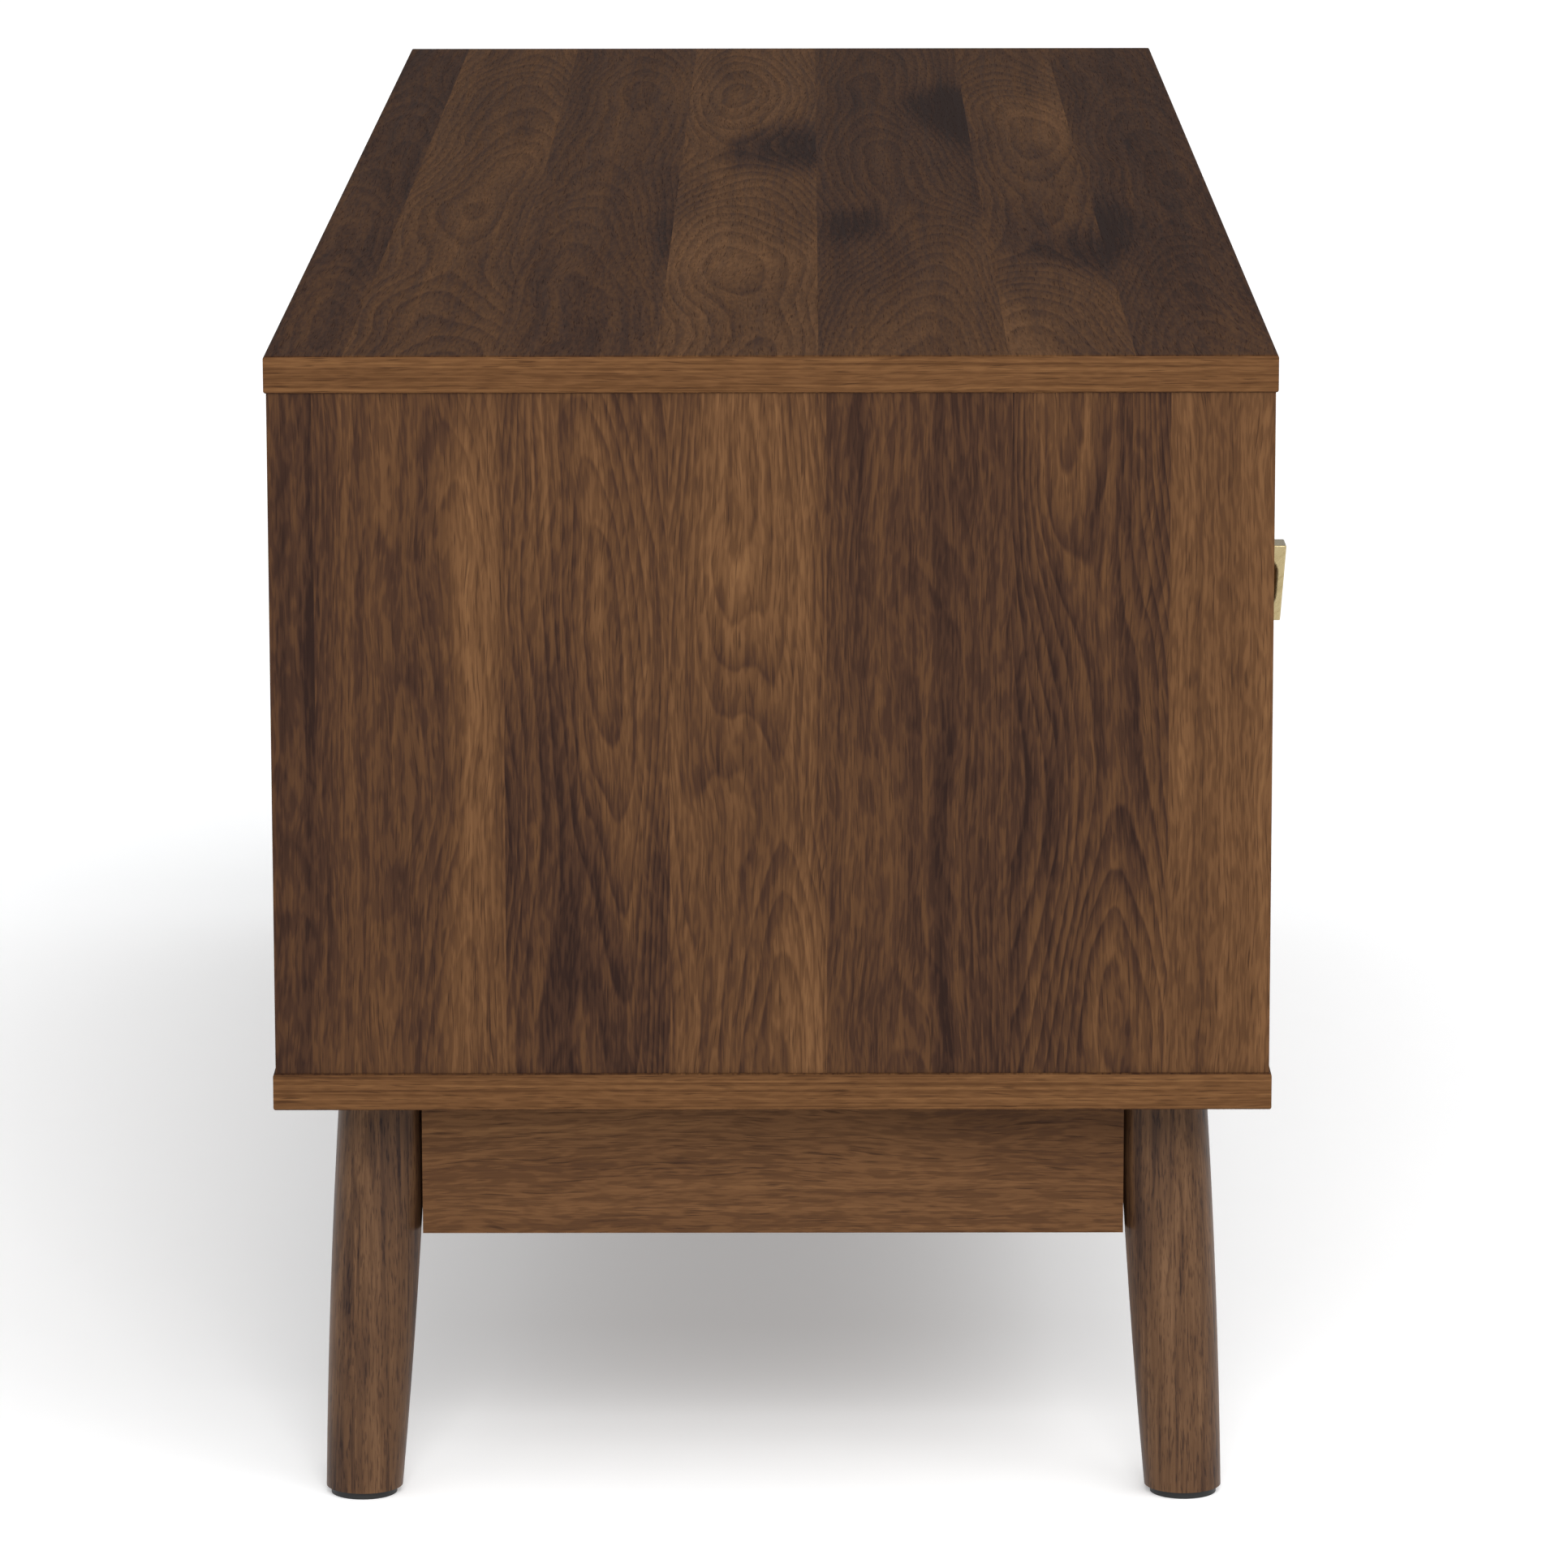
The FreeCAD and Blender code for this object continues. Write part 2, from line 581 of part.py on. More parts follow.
def flange_nut(where, turn):
    hexagon = doc.addObject("Part::Prism", "Nut")
    hexagon.Polygon = 6
    bind(hexagon, "Circumradius", "nut_radius")
    bind(hexagon, "Height", "nut_tall")
    bind(hexagon, "Placement.Base.z", "nut_flange_thick")
    whole = doc.addObject("Part::MultiFuse", "FlangeNut")
    whole.Shapes = [hexagon, disc("nut_flange", "nut_flange_thick", "0")]
    return place(whole, where, turn)


def leg_blank():
    """A turned leg before its ends are trimmed: a revolved outline with a swelling side."""
    body = doc.addObject("PartDesign::Body", "LegBlank")
    sketch = body.newObject("Sketcher::SketchObject", "Outline")
    sketch.AttachmentSupport = [(plane(body, "XZ_Plane"), "")]
    sketch.MapMode = "FlatFace"
    tall, spare = size("base_tall"), size("leg_spare")
    foot, middle, top = size("leg_foot"), size("leg_middle"), size("leg_top")
    low, high = Vector(foot, 0, 0), Vector(top, tall, 0)
    arc = Part.Arc(low, Vector(middle, tall/2, 0), high)
    lines = (
        (Vector(0, -spare, 0), Vector(foot, -spare, 0)),
        (Vector(foot, -spare, 0), low),
        (high, Vector(top, tall + spare, 0)),
        (Vector(top, tall + spare, 0), Vector(0, tall + spare, 0)),
        (Vector(0, tall + spare, 0), Vector(0, -spare, 0)),
    )
    for start, end in lines:
        sketch.addGeometry(Part.LineSegment(start, end), False)
    side = sketch.addGeometry(arc, False)
    swell = sketch.addGeometry(Part.Point(Vector(middle, tall/2, 0)), True)
    loop = ((0, 2, 1, 1), (1, 2, side, 1), (side, 2, 2, 1), (2, 2, 3, 1), (3, 2, 4, 1), (4, 2, 0, 1))
    for joint in loop:
        sketch.addConstraint(Sketcher.Constraint("Coincident", *joint))
    fixed = (
        (0, 1, "0", "-leg_spare"),
        (1, 1, "leg_foot", "-leg_spare"),
        (side, 1, "leg_foot", "0"),
        (2, 1, "leg_top", "base_tall"),
        (3, 1, "leg_top", "base_tall + leg_spare"),
        (4, 1, "0", "base_tall + leg_spare"),
        (swell, 1, "leg_middle", "base_tall/2"),
    )
    for item, end, across, along in fixed:
        point = sketch.getPoint(item, end)
        for kind, text, value in (("DistanceX", across, point.x), ("DistanceY", along, point.y)):
            index = sketch.addConstraint(Sketcher.Constraint(kind, -1, 1, item, end, value))
            bind(sketch, f"Constraints[{index}]", text)
    sketch.addConstraint(Sketcher.Constraint("PointOnObject", swell, 1, side))
    turned = body.newObject("PartDesign::Revolution", "Turned")
    turned.Profile = sketch
    turned.ReferenceAxis = (sketch, ["V_Axis"])
    turned.Angle = 360
    body.Tip = turned
    return body


bolts, nuts, base_screws, blocks, glides = [], [], [], [], []
for name, side, end, degrees in CORNERS:
    turn = Rotation(Vector(0, 0, 1), degrees)
    x, y = f"{side}*{CORNER_X}", f"{end}*{CORNER_Y}"
    diagonal = turn.multiply(Rotation(Vector(0, 0, 1), Vector(1, 1, 0)))
    bolt_z = f"{UNDERSIDE} - block_drop - block_tall/2"
    bolts.append(pin((("bolt_radius", "bolt_long"),),
                     (f"{x} + {side}*bolt_start", f"{y} + {end}*bolt_start", bolt_z), diagonal))
    nut_place = (f"{x} - {side}*block_far/2", f"{y} - {end}*block_far/2", bolt_z)
    nuts.append(cut(flange_nut(nut_place, diagonal), [bolts[-1]]))
    reaches = ("base_screw_far", "base_screw_near")
    for reach_x, reach_y in (reaches, reversed(reaches)):
        where = (f"{x} - {side}*{reach_x}", f"{y} - {end}*{reach_y}",
                 f"{UNDERSIDE} - block_drop - block_tall")
        steps = (("2*base_screw", "base_head_thick"), ("base_screw", "base_screw_long - base_head_thick"))
        base_screws.append(pin(steps, where, "up"))
    blocks.append(corner_block(x, y, turn))
    glides.append(pin((("glide_radius", "glide_thick"), ("glide_pin", "glide_pin_long")),
                      (f"{side}*(length/2 - leg_foot_in_x)", f"{end}*(depth/2 - leg_foot_in_y)", "0"), "up"))
bolts = node(group(bolts), "hanger_bolts")
node(group(nuts), "hanger_nuts")
base_screws = node(group(base_screws), "base_screws")
blocks = node(cut(group(blocks), [bolts, base_screws]), "corner_blocks")
glides = node(group(glides), "foot_glides")

for name, side, end, _ in CORNERS:
    foot = Vector(side*(size("length")/2 - size("leg_foot_in_x")),
                  end*(size("depth")/2 - size("leg_foot_in_y")), 0)
    top = Vector(side*(size("length")/2 - size("leg_top_in_x")),
                 end*(size("depth")/2 - size("leg_top_in_y")), size("base_tall"))
    blank = leg_blank()
    place(blank, (f"{side}*(length/2 - leg_foot_in_x)", f"{end}*(depth/2 - leg_foot_in_y)", "0"),
          Rotation(Vector(0, 0, 1), top - foot))
    slab = board_at(f"{side}*(length/2 - leg_top_in_x)", "trim_half",
                    f"{end}*(depth/2 - leg_top_in_y) - trim_half", "2*trim_half",
                    "glide_thick", "base_tall - glide_thick")
    trimmed = doc.addObject("Part::Common", "Trimmed")
    trimmed.Base = blank
    trimmed.Tool = slab
    node(cut(trimmed, [*aprons, bolts, glides]), f"{name}_leg")

# ---- case boards, drilled and grooved for what they hold ----


def banded_board(low_z):
    """A full-size board with its banded edges rounded."""
    blank = box(("-length/2", "-depth/2", low_z), ("length", "depth", "board"))
    doc.recompute()
    soft = doc.addObject("Part::Fillet", "Banded")
    soft.Base = blank
    radius = size("edge_round")
    flat = [i for i, edge in enumerate(blank.Shape.Edges, start=1) if edge.BoundBox.ZLength < 1]
    soft.Edges = [(i, radius, radius) for i in flat]
    return soft


node(cut(banded_board(f"{CEILING}"), [dowels, cam_studs, bushes, bores, back_panel]), "top_board")
below = [dowels, case_screws, base_screws, bushes, bores, back_panel]
node(cut(banded_board(UNDERSIDE), below), "bottom_board")
for label, (middle, inward) in UPRIGHTS.items():
    is_end = "end_panel" in label
    deep = "depth - 2*face_inset" if is_end else "depth - face_inset - back_inset - back_thick"
    upright = board_at(middle, "(board/2)", FRONT, deep, FLOOR, INNER_TALL)
    tools = [dowels, cam_locks, cam_studs, case_screws, shelf_pins, pin_holes]
    tools += [back_panel] if is_end else [back_screws]
    node(cut(upright, tools), label)
node(cut(back_panel, [back_screws]), "back_panel")

# ---- check and write ----

doc.recompute()
for item in doc.Objects:
    if {"Invalid", "Error"} & set(item.State):
        raise RuntimeError(f"{item.Label} failed: {item.State}")
labels = [item.Label for item in nodes]
if len(set(labels)) != len(labels):
    raise RuntimeError("two sub-parts share a name")
os.makedirs("parts", exist_ok=True)
for item in nodes:
    if item.Shape.isNull() or not item.Shape.isValid() or not item.Shape.Solids:
        raise RuntimeError(f"{item.Label} has no valid solid")
    item.Shape.exportStep(f"parts/{item.Label}.step")
print(len(nodes), "sub-parts")
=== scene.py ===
import json
import math

import bmesh
import bpy
from mathutils import Matrix, Vector


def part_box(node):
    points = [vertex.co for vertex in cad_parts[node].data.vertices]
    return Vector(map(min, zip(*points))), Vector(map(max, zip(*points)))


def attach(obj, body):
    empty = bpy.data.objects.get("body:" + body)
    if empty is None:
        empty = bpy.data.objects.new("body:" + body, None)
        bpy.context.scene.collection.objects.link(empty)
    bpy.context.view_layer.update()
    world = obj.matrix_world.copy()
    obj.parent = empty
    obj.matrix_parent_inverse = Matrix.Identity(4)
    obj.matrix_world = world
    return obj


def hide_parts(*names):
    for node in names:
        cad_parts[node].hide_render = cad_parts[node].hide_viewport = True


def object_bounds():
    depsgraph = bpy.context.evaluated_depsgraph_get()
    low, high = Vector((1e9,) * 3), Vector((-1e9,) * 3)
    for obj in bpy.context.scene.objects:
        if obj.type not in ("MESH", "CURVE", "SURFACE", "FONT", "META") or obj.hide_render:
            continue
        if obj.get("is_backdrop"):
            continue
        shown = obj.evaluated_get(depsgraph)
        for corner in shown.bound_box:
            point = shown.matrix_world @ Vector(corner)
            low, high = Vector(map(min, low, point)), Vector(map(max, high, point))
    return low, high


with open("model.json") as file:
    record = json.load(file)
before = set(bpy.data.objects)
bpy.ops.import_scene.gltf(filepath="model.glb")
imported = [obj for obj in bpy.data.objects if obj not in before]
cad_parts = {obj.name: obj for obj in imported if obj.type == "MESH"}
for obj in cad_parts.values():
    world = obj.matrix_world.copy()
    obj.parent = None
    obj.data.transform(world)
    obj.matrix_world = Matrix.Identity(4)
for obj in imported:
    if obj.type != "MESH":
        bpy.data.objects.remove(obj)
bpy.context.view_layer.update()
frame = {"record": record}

MM = 0.001
X, Y, Z = 0, 1, 2
LEFT, RIGHT, DOWN, BACKWARD = -1, 1, -1, 1

# The foil's planks: width in millimetres, tone (0 dark, 1 light) and amount of arched figure, from
# the back edge to the front edge of an end panel, and of the top board.
END_PLANKS = (
    (20, 0.34, 0.3),
    (75, 0.47, 0.6),
    (65, 0.40, 0.9),
    (62, 0.53, 0.8),
    (74, 0.38, 0.5),
    (63, 0.45, 1.0),
    (41, 0.58, 0.2),
)
TOP_PLANKS = (
    (32, 0.28, 0.6),
    (59, 0.50, 0.9),
    (64, 0.40, 0.7),
    (64, 0.55, 1.0),
    (75, 0.36, 0.8),
    (51, 0.47, 0.9),
    (55, 0.30, 0.6),
)
WOOD_TONES = (
    (0.00, (0.021, 0.009, 0.006)),
    (0.22, (0.048, 0.021, 0.011)),
    (0.45, (0.089, 0.040, 0.016)),
    (0.65, (0.134, 0.062, 0.025)),
    (0.85, (0.188, 0.091, 0.036)),
    (1.00, (0.250, 0.132, 0.058)),
)
PORE_COLOUR = (0.016, 0.007, 0.005, 1.0)
LEG_TONES = (
    (0.05, (0.018, 0.008, 0.006)),
    (0.30, (0.050, 0.024, 0.013)),
    (0.55, (0.092, 0.045, 0.021)),
    (0.90, (0.168, 0.088, 0.043)),
)
BRASS_TONES = (
    (0.25, (0.34, 0.26, 0.13)),
    (0.50, (0.46, 0.37, 0.20)),
    (0.80, (0.54, 0.44, 0.25)),
)
PINE_TONES = ((0.1, (0.50, 0.34, 0.18)), (0.9, (0.66, 0.50, 0.31)))
RAW_BOARD_TONES = ((0.25, (0.105, 0.058, 0.032)), (0.75, (0.205, 0.125, 0.072)))
PRINTED_BOARD_TONES = ((0.2, (0.045, 0.022, 0.014)), (0.8, (0.13, 0.066, 0.034)))
FLOOR_TONES = ((0.2, (0.93, 0.93, 0.93)), (0.8, (0.95, 0.95, 0.95)))

# The legs, as they are in the frame: height, lean along X and Y, and the radius at foot, middle and
# top. Their sides are plain and round up to just below the aprons.
LEG_TALL = 170*MM
LEG_LEAN = (9.0*MM, 9.6*MM)
LEG_RADII = (15.5*MM, 17.8*MM, 18.0*MM)
PLAIN_SIDE_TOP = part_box("left_apron")[0][Z] - 1*MM


class Graph:
    """A material's node tree, with short calls for the nodes that the finishes share."""

    def __init__(self, name):
        self.material = bpy.data.materials.new(name)
        self.material.use_nodes = True
        self.tree = self.material.node_tree
        self.bsdf = self.tree.nodes["Principled BSDF"]
        coords = self.add("ShaderNodeTexCoord")
        self.place = self.split(coords.outputs["Object"])
        self.normal = self.split(coords.outputs["Normal"])

    def add(self, kind, **settings):
        """A new node, with its own settings."""
        made = self.tree.nodes.new(kind)
        for key, value in settings.items():
            setattr(made, key, value)
        return made

    def feed(self, socket, value):
        """Give a socket another node's output, or a fixed value."""
        if isinstance(value, bpy.types.NodeSocket):
            self.tree.links.new(value, socket)
        else:
            socket.default_value = value

    def split(self, vector):
        """The three numbers of a vector."""
        made = self.add("ShaderNodeSeparateXYZ")
        self.feed(made.inputs[0], vector)
        return list(made.outputs)

    def join(self, x, y, z):
        """A vector of three numbers."""
        made = self.add("ShaderNodeCombineXYZ")
        for socket, value in zip(made.inputs, (x, y, z)):
            self.feed(socket, value)
        return made.outputs[0]

    def math(self, operation, a, b=0.0, c=0.0, clamp=False):
        """A math node for up to three numbers: MULTIPLY_ADD gives a*b + c."""
        made = self.add("ShaderNodeMath", operation=operation, use_clamp=clamp)
        for socket, value in zip(made.inputs, (a, b, c)):
            self.feed(socket, value)
        return made.outputs[0]

    def scaled(self, value, gain, offset=0.0):
        """A number times a gain plus an offset."""
        return self.math("MULTIPLY_ADD", value, gain, offset)

    def plus(self, total, part, weight, middle=0.0, clamp=False):
        """A total plus a weighted part, which adds nothing where the part is at its middle."""
        swing = self.math("SUBTRACT", part, middle) if middle else part
        return self.math("MULTIPLY_ADD", swing, weight, total, clamp)

    def blend(self, factor, a, b):
        """One number that goes from a to b."""
        made = self.add("ShaderNodeMix", data_type="FLOAT")
        for socket, value in zip(made.inputs[:4], (factor, None, a, b)):
            if value is not None:
                self.feed(socket, value)
        return made.outputs[0]

    def tint(self, factor, a, b):
        """One colour that goes from a to b."""
        made = self.add("ShaderNodeMix", data_type="RGBA")
        self.feed(made.inputs[0], factor)
        self.feed(made.inputs[6], a)
        self.feed(made.inputs[7], b)
        return made.outputs[2]

    def noise(self, along, across, seed, detail, roughness):
        """Noise whose cells are one unit long and one unit wide in the numbers given."""
        made = self.add("ShaderNodeTexNoise")
        self.feed(made.inputs["Vector"], self.join(along, across, seed))
        made.inputs["Scale"].default_value = 1.0
        made.inputs["Detail"].default_value = detail
        made.inputs["Roughness"].default_value = roughness
        return made.outputs["Fac"]

    def ramp(self, factor, stops, interpolation="LINEAR"):
        """A colour for a number, from stops of position and colour."""
        made = self.add("ShaderNodeValToRGB")
        made.color_ramp.interpolation = interpolation
        points = made.color_ramp.elements
        while len(points) < len(stops):
            points.new(1.0)
        for point, (position, colour) in zip(points, stops):
            point.position = position
            point.color = (*colour, 1.0)
        self.feed(made.inputs[0], factor)
        return made.outputs["Color"]

    def step(self, factor, low, high):
        """A number that goes smoothly from 0 to 1 as the factor goes from low to high."""
        made = self.add("ShaderNodeMapRange", interpolation_type="SMOOTHSTEP")
        for socket, value in zip(made.inputs, (factor, low, high)):
            self.feed(socket, value)
        return made.outputs[0]

    def finish(self, colour, roughness, height=None, depth=0.0, **fixed):
        """The material, with any height field as its bump, of a depth in metres."""
        self.feed(self.bsdf.inputs["Base Color"], colour)
        self.feed(self.bsdf.inputs["Roughness"], roughness)
        if height is not None:
            made = self.add("ShaderNodeBump")
            made.inputs["Strength"].default_value = 1.0
            made.inputs["Distance"].default_value = depth
            self.feed(made.inputs["Height"], height)
            self.feed(self.bsdf.inputs["Normal"], made.outputs[0])
        for key, value in fixed.items():
            self.bsdf.inputs[key.replace("_", " ")].default_value = value
        return self.material


def darker(colour, share):
    """A colour with each of its parts cut to a share."""
    return tuple(share*part for part in colour)


def plank_data(graph, across, span, planks):
    """At a place across the planks: the plank's tone, its amount of arched figure, and the distance
    from its middle in metres. A stepped ramp holds tone, amount and middle as one colour.
    """
    low, high = span
    total = sum(width for width, tone, arch in planks)
    stops = []
    edge = 0.0
    for width, tone, arch in planks:
        stops.append((edge/total, (tone, arch, (edge + width/2)/total)))
        edge += width
    share = graph.math("DIVIDE", graph.math("SUBTRACT", across, low), high - low)
    channels = graph.add("ShaderNodeSeparateColor")
    graph.feed(channels.inputs[0], graph.ramp(share, stops, "CONSTANT"))
    tone, arch, middle = list(channels.outputs)[:3]
    offset = graph.scaled(graph.math("SUBTRACT", share, middle), high - low)
    return tone, arch, offset


def wood(name, face, grain, planks=None, span=None, base_tone=0.5, band_tone=0.58, gain=1.0,
         arches=0.3, contrast=1.0, swirl=1.0, specular=0.07, roughness=0.45):
    """Walnut foil: figure on the broad faces, and a plain streaked band on the narrow ones.

    With planks, their tones and figure follow the planks across the span. Without, the face is one
    board with the base tone and the given amount of arched figure.
    """
    square_on = 0.6
    seed_step = 37.0
    rings_per_square_metre = 4600
    rings_per_metre_along = 9.0
    rings_per_slow_noise = 19.0
    rings_per_metre_waver = 150
    rings_of_grit = 0.16
    graph = Graph(name)
    cross = X + Y + Z - face - grain
    on_face = graph.math("GREATER_THAN", graph.math("ABSOLUTE", graph.normal[face]), square_on)
    band_along = graph.math("ADD", graph.place[cross], graph.place[grain])
    along = graph.blend(on_face, band_along, graph.place[grain])
    across = graph.blend(on_face, graph.place[face], graph.place[cross])
    if planks:
        tone, arch, offset = plank_data(graph, graph.place[cross], span, planks)
        middle_shade = 0.52
        knot_share = 1.0
    else:
        tone, arch, offset = base_tone, arches, across
        middle_shade = 0.50
        knot_share = 0.0
    seed = graph.math("MULTIPLY", graph.scaled(graph.math("ADD", tone, arch), seed_step), on_face)

    def layer(length, width, shift, detail=2.0, rough=0.5, run=across):
        """Noise with cells of a length and a width in millimetres."""
        return graph.noise(
            graph.scaled(along, 1/(length*MM)),
            graph.scaled(run, 1/(width*MM)),
            graph.scaled(seed, 1.0, shift),
            detail,
            rough,
        )

    # Growth rings: arches about the plank's middle, blurred into ovals by a slow noise.
    waver = graph.scaled(layer(110*swirl, 30*swirl, 1.0), 16*MM, -8*MM)
    bent = graph.math("ADD", across, waver)
    slow = layer(250*swirl, 58*swirl, 2.0, 1.0, 0.4)
    parabola = graph.math("POWER", graph.math("ABSOLUTE", offset), 2.0)
    field = graph.scaled(parabola, rings_per_square_metre)
    field = graph.math("ADD", field, graph.scaled(along, rings_per_metre_along))
    field = graph.plus(field, slow, rings_per_slow_noise)
    field = graph.plus(field, waver, rings_per_metre_waver)
    field = graph.plus(field, layer(24, 3.0, 2.5, 2.0, 0.6), rings_of_grit)
    phase = graph.math("FRACT", field)
    rings = graph.math("MULTIPLY", graph.math("POWER", phase, 1.6), graph.step(phase, 1.0, 0.86))
    ring_share = graph.math("MULTIPLY", arch, on_face)

    ovals = graph.step(slow, 0.50, 0.34)
    bands = layer(420, 17, 4.0, 3, 0.55, bent)
    streaks = layer(240, 3.6, 5.0, 3, 0.6, bent)
    fibres = layer(42, 0.8, 6.0, 2, 0.7)
    fleck = graph.step(layer(11, 1.5, 7.0, 1.5, 0.6, bent), 0.40, 0.60)
    pores = graph.step(layer(16, 0.6, 9.0, 1, 0.5, bent), 0.60, 0.72)
    lines = layer(300, 1.5, 10.0, 2, 0.6)
    knots = graph.math("MULTIPLY", graph.step(slow, 0.66, 0.80), knot_share)

    face_parts = (
        (tone, 1.30),
        (ovals, 0.20),
        (bands, 0.60),
        (streaks, 0.40),
        (fibres, 0.26),
        (fleck, 0.15),
    )
    face_shade = 0.0
    for part, weight in face_parts:
        face_shade = graph.plus(face_shade, part, weight*contrast, middle=0.5)
    face_shade = graph.plus(face_shade, graph.math("MULTIPLY", rings, ring_share), -0.29*contrast)
    face_shade = graph.plus(face_shade, knots, -0.36)
    face_shade = graph.math("ADD", face_shade, middle_shade, clamp=True)
    band_shade = graph.plus(band_tone, lines, 0.85, middle=0.5)
    band_shade = graph.plus(band_shade, fibres, 0.35, middle=0.5)
    band_shade = graph.plus(band_shade, fleck, 0.10, middle=0.5, clamp=True)

    tones = [(at, darker(colour, gain)) for at, colour in WOOD_TONES]
    colour = graph.ramp(graph.blend(on_face, band_shade, face_shade), tones)
    colour = graph.tint(graph.scaled(pores, 0.5), colour, PORE_COLOUR)
    height = graph.plus(graph.scaled(fibres, 0.5), pores, -0.6)
    height = graph.plus(height, streaks, 0.4)
    rough = graph.plus(roughness - 0.08, streaks, 0.16)
    rough = graph.plus(rough, pores, 0.12)
    return graph.finish(colour, rough, height, 0.05*MM, Specular_IOR_Level=specular)


def leg_wood(name):
    """Stained solid wood: long dark streaks that follow each leg."""
    graph = Graph(name)
    x, y, z = graph.place

    def layer(length, width, shift, detail, rough):
        """Noise with cells of a length and a width in millimetres."""
        return graph.noise(
            graph.scaled(z, 1/(length*MM)),
            graph.scaled(x, 1/(width*MM)),
            graph.scaled(y, 1/(width*MM), shift),
            detail,
            rough,
        )

    hair = layer(80, 1.4, 0.0, 3, 0.6)
    line = graph.step(layer(150, 3.2, 4.0, 2, 0.5), 0.52, 0.66)
    dash = graph.step(layer(7, 0.7, 6.0, 1.5, 0.6), 0.52, 0.66)
    long = layer(260, 12, 2.0, 2, 0.5)
    cloud = layer(45, 26, 5.0, 2, 0.5)
    shade = graph.plus(graph.scaled(long, 0.70, -0.34), hair, 0.70)
    shade = graph.plus(shade, line, -0.22)
    shade = graph.plus(shade, dash, -0.24)
    shade = graph.plus(shade, cloud, 0.40, clamp=True)
    colour = graph.ramp(shade, LEG_TONES)
    rough = graph.scaled(hair, 0.14, 0.34)
    return graph.finish(colour, rough, hair, 0.04*MM, Specular_IOR_Level=0.14)


# Places are in metres, so in the finishes below a scale of 300 makes noise of 300 cells to a metre.

def brass(name):
    """Satin brass, brushed across, with faint tarnish."""
    graph = Graph(name)
    x, y, z = graph.place
    brush_height = graph.plus(graph.scaled(y, 2600), z, 2600)
    brushed = graph.noise(graph.scaled(x, 90), brush_height, 0, 3, 0.7)
    cloud_height = graph.math("ADD", graph.scaled(z, 260), graph.scaled(y, 200))
    cloud = graph.noise(graph.scaled(x, 260), cloud_height, 0, 3, 0.6)
    rough = graph.plus(graph.scaled(cloud, 0.14, 0.14), brushed, 0.16)
    return graph.finish(graph.ramp(cloud, BRASS_TONES), rough, brushed, 0.02*MM, Metallic=1.0)


def metal(name, base):
    """Plated steel with drawn lines along Y and a mottled plating."""
    graph = Graph(name)
    x, y, z = graph.place
    line_place = graph.plus(graph.scaled(z, 900), x, 900)
    lines = graph.noise(graph.scaled(y, 60), line_place, 0, 3, 0.7)
    spots = graph.noise(graph.scaled(x, 300), graph.scaled(z, 300), graph.scaled(y, 300), 3, 0.6)
    colour = graph.ramp(spots, ((0.3, darker(base, 0.72)), (0.7, base)))
    rough = graph.plus(graph.scaled(spots, 0.1, 0.26), lines, 0.2)
    return graph.finish(colour, rough, lines, 0.02*MM, Metallic=1.0)


def plastic(name, base, rough=0.48):
    """Moulded plastic with a fine spark-eroded texture."""
    graph = Graph(name)
    skin = graph.noise(*(graph.scaled(axis, 1600) for axis in graph.place), 2, 0.6)
    cloud = graph.noise(*(graph.scaled(axis, 80) for axis in graph.place), 2, 0.5)
    colour = graph.ramp(cloud, ((0.3, darker(base, 0.8)), (0.7, base)))
    rough = graph.scaled(skin, 0.15, rough - 0.07)
    return graph.finish(colour, rough, skin, 0.03*MM, Specular_IOR_Level=0.4)


def softwood(name):
    """Plain pine: pale, with soft yellow rings."""
    graph = Graph(name)
    x, y, z = graph.place
    run = graph.math("ADD", x, graph.scaled(y, 0.3))
    field = graph.noise(graph.scaled(run, 4), graph.scaled(z, 40), 0, 2, 0.5)
    rings = graph.scaled(graph.math("SINE", graph.scaled(field, 70)), 0.5, 0.5)
    fibres = graph.noise(graph.scaled(run, 30), graph.scaled(z, 1200), 0, 3, 0.6)
    shade = graph.plus(graph.scaled(rings, 0.5), fibres, 0.5, clamp=True)
    colour = graph.ramp(shade, PINE_TONES)
    rough = graph.scaled(fibres, 0.2, 0.55)
    return graph.finish(colour, rough, fibres, 0.08*MM, Specular_IOR_Level=0.25)


def back_board(name):
    """Fibreboard: walnut print towards the inside, pressed brown fibres towards the wall."""
    graph = Graph(name)
    x, y, z = graph.place
    outside = graph.math("GREATER_THAN", graph.normal[Y], 0.0)
    fibres = graph.noise(graph.scaled(x, 700), graph.scaled(z, 700), 0.0, 4, 0.8)
    cloud = graph.noise(graph.scaled(x, 6), graph.scaled(z, 6), 1.0, 4, 0.6)
    raw = graph.ramp(graph.plus(graph.scaled(cloud, 0.4), fibres, 0.6), RAW_BOARD_TONES)
    streaks = graph.noise(graph.scaled(z, 5), graph.scaled(x, 160), 0.0, 4, 0.65)
    printed = graph.ramp(streaks, PRINTED_BOARD_TONES)
    colour = graph.tint(outside, printed, raw)
    rough = graph.blend(outside, 0.5, graph.scaled(fibres, 0.2, 0.6))
    return graph.finish(colour, rough, fibres, 0.08*MM, Specular_IOR_Level=0.25)


def paint(nodes, material):
    """Give CAD nodes a finish in place of their plain one."""
    for name in nodes:
        item = bpy.data.objects[name]
        if not item.material_slots:
            item.data.materials.append(material)
        for slot in item.material_slots:
            slot.material = material


def span_of(node, axis):
    low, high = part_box(node)
    return low[axis], high[axis]


SLOTS = {}
for entry in frame["record"]["subparts"]:
    SLOTS.setdefault(entry["material_slot"], []).append(entry["node"])

